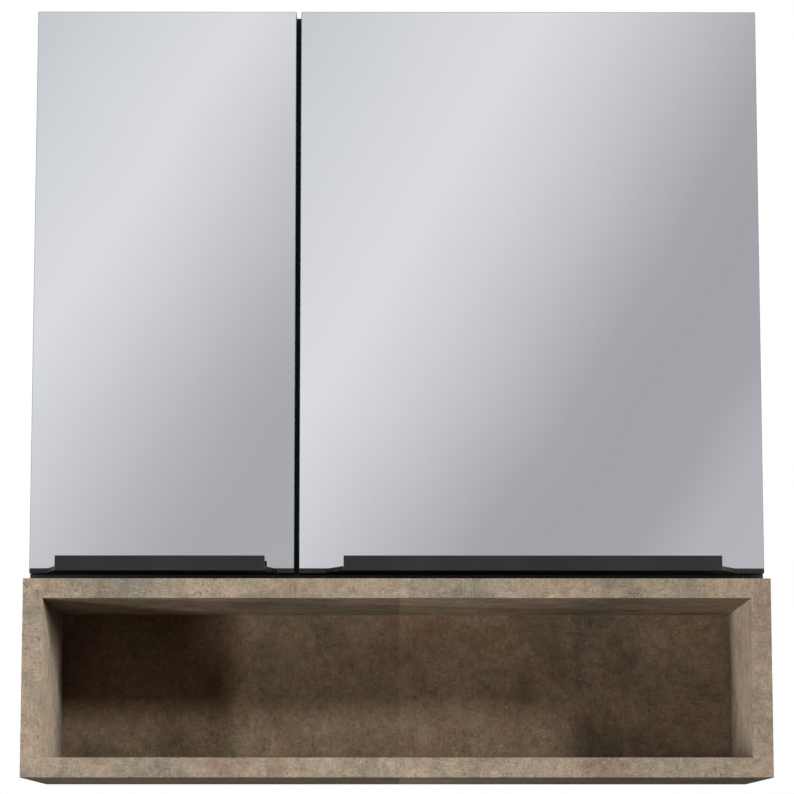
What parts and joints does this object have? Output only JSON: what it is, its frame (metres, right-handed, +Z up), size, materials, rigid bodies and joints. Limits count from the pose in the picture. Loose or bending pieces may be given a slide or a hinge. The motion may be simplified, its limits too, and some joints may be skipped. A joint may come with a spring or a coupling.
{
  "type": "medicine cabinet",
  "caption": "Wall-hung bathroom cabinet with hinged mirror doors of unequal width over an open shelf box in a mottled brown decor, with black grip strips.",
  "frame": {"origin": "centre of the hanging rail's wall-side face, in the plane of the wall", "axes": "+X to the viewer's right along the width, +Y into the wall, +Z up; the doors face -Y"},
  "size_m": [0.6, 0.2, 0.635],
  "materials": {
    "decor": "matte melamine with a mottled rust-brown concrete print",
    "graphite": "satin graphite melamine",
    "mirror": "silvered float glass",
    "black_metal": "black anodised, fine satin",
    "shelf_glass": "clear float glass, ground edges",
    "nickel": "nickel-plated steel",
    "zinc": "zinc-plated steel",
    "hanger_plastic": "fine-grained moulding",
    "silicone": "clear soft silicone"
  },
  "bodies": {
    "cabinet": {"shelf_box_bottom": "decor", "shelf_box_top": "decor", "shelf_box_left": "decor", "shelf_box_right": "decor", "shelf_box_back": "decor", "carcass_side_left": "graphite", "carcass_side_right": "graphite", "carcass_bottom": "graphite", "carcass_top": "graphite", "carcass_partition": "graphite", "carcass_back": "graphite", "glass_shelf_left_lower": "shelf_glass", "shelf_pin_left_lower_front_a": "nickel", "shelf_pin_left_lower_front_b": "nickel", "shelf_pin_left_lower_rear_a": "nickel", "shelf_pin_left_lower_rear_b": "nickel", "glass_shelf_left_upper": "shelf_glass", "shelf_pin_left_upper_front_a": "nickel", "shelf_pin_left_upper_front_b": "nickel", "shelf_pin_left_upper_rear_a": "nickel", "shelf_pin_left_upper_rear_b": "nickel", "glass_shelf_right_lower": "shelf_glass", "shelf_pin_right_lower_front_a": "nickel", "shelf_pin_right_lower_front_b": "nickel", "shelf_pin_right_lower_rear_a": "nickel", "shelf_pin_right_lower_rear_b": "nickel", "glass_shelf_right_upper": "shelf_glass", "shelf_pin_right_upper_front_a": "nickel", "shelf_pin_right_upper_front_b": "nickel", "shelf_pin_right_upper_rear_a": "nickel", "shelf_pin_right_upper_rear_b": "nickel", "left_hinge_arm_lower": "nickel", "left_hinge_plate_lower": "nickel", "left_hinge_arm_upper": "nickel", "left_hinge_plate_upper": "nickel", "right_hinge_arm_lower": "nickel", "right_hinge_plate_lower": "nickel", "right_hinge_arm_upper": "nickel", "right_hinge_plate_upper": "nickel", "door_bumper_left": "silicone", "door_bumper_right": "silicone", "hanger_housing_left": "hanger_plastic", "hanger_hook_left": "zinc", "hanger_housing_right": "hanger_plastic", "hanger_hook_right": "zinc", "wall_rail": "zinc"},
    "left_door": {"left_door_board": "graphite", "left_door_mirror": "mirror", "left_door_grip": "black_metal", "left_hinge_cup_lower": "nickel", "left_hinge_cup_upper": "nickel"},
    "right_door": {"right_door_board": "graphite", "right_door_mirror": "mirror", "right_door_grip": "black_metal", "right_hinge_cup_lower": "nickel", "right_hinge_cup_upper": "nickel"},
    "left_hinge_links": {"left_hinge_link_lower": "nickel", "left_hinge_link_upper": "nickel"},
    "right_hinge_links": {"right_hinge_link_lower": "nickel", "right_hinge_link_upper": "nickel"}
  },
  "joints": [
    {"name": "left_door_hinge", "type": "hinge", "parent": "cabinet", "child": "left_door", "pos_m": [-0.2925, -0.167, -0.173], "axis": [0, 0, -1], "range_deg": [0, 110]},
    {"name": "right_door_hinge", "type": "hinge", "parent": "cabinet", "child": "right_door", "pos_m": [0.2925, -0.167, -0.173], "axis": [0, 0, 1], "range_deg": [0, 110]},
    {"name": "left_hinge_links_slide", "type": "slide", "parent": "cabinet", "child": "left_hinge_links", "axis": [0, -1, 0], "range_m": [0, 0.026]},
    {"name": "right_hinge_links_slide", "type": "slide", "parent": "cabinet", "child": "right_hinge_links", "axis": [0, -1, 0], "range_m": [0, 0.026]}
  ],
  "couplings": [
    {"joint": "left_hinge_links_slide", "follows": "left_door_hinge", "m_per_rad": 0.01337},
    {"joint": "right_hinge_links_slide", "follows": "right_door_hinge", "m_per_rad": 0.01337}
  ]
}
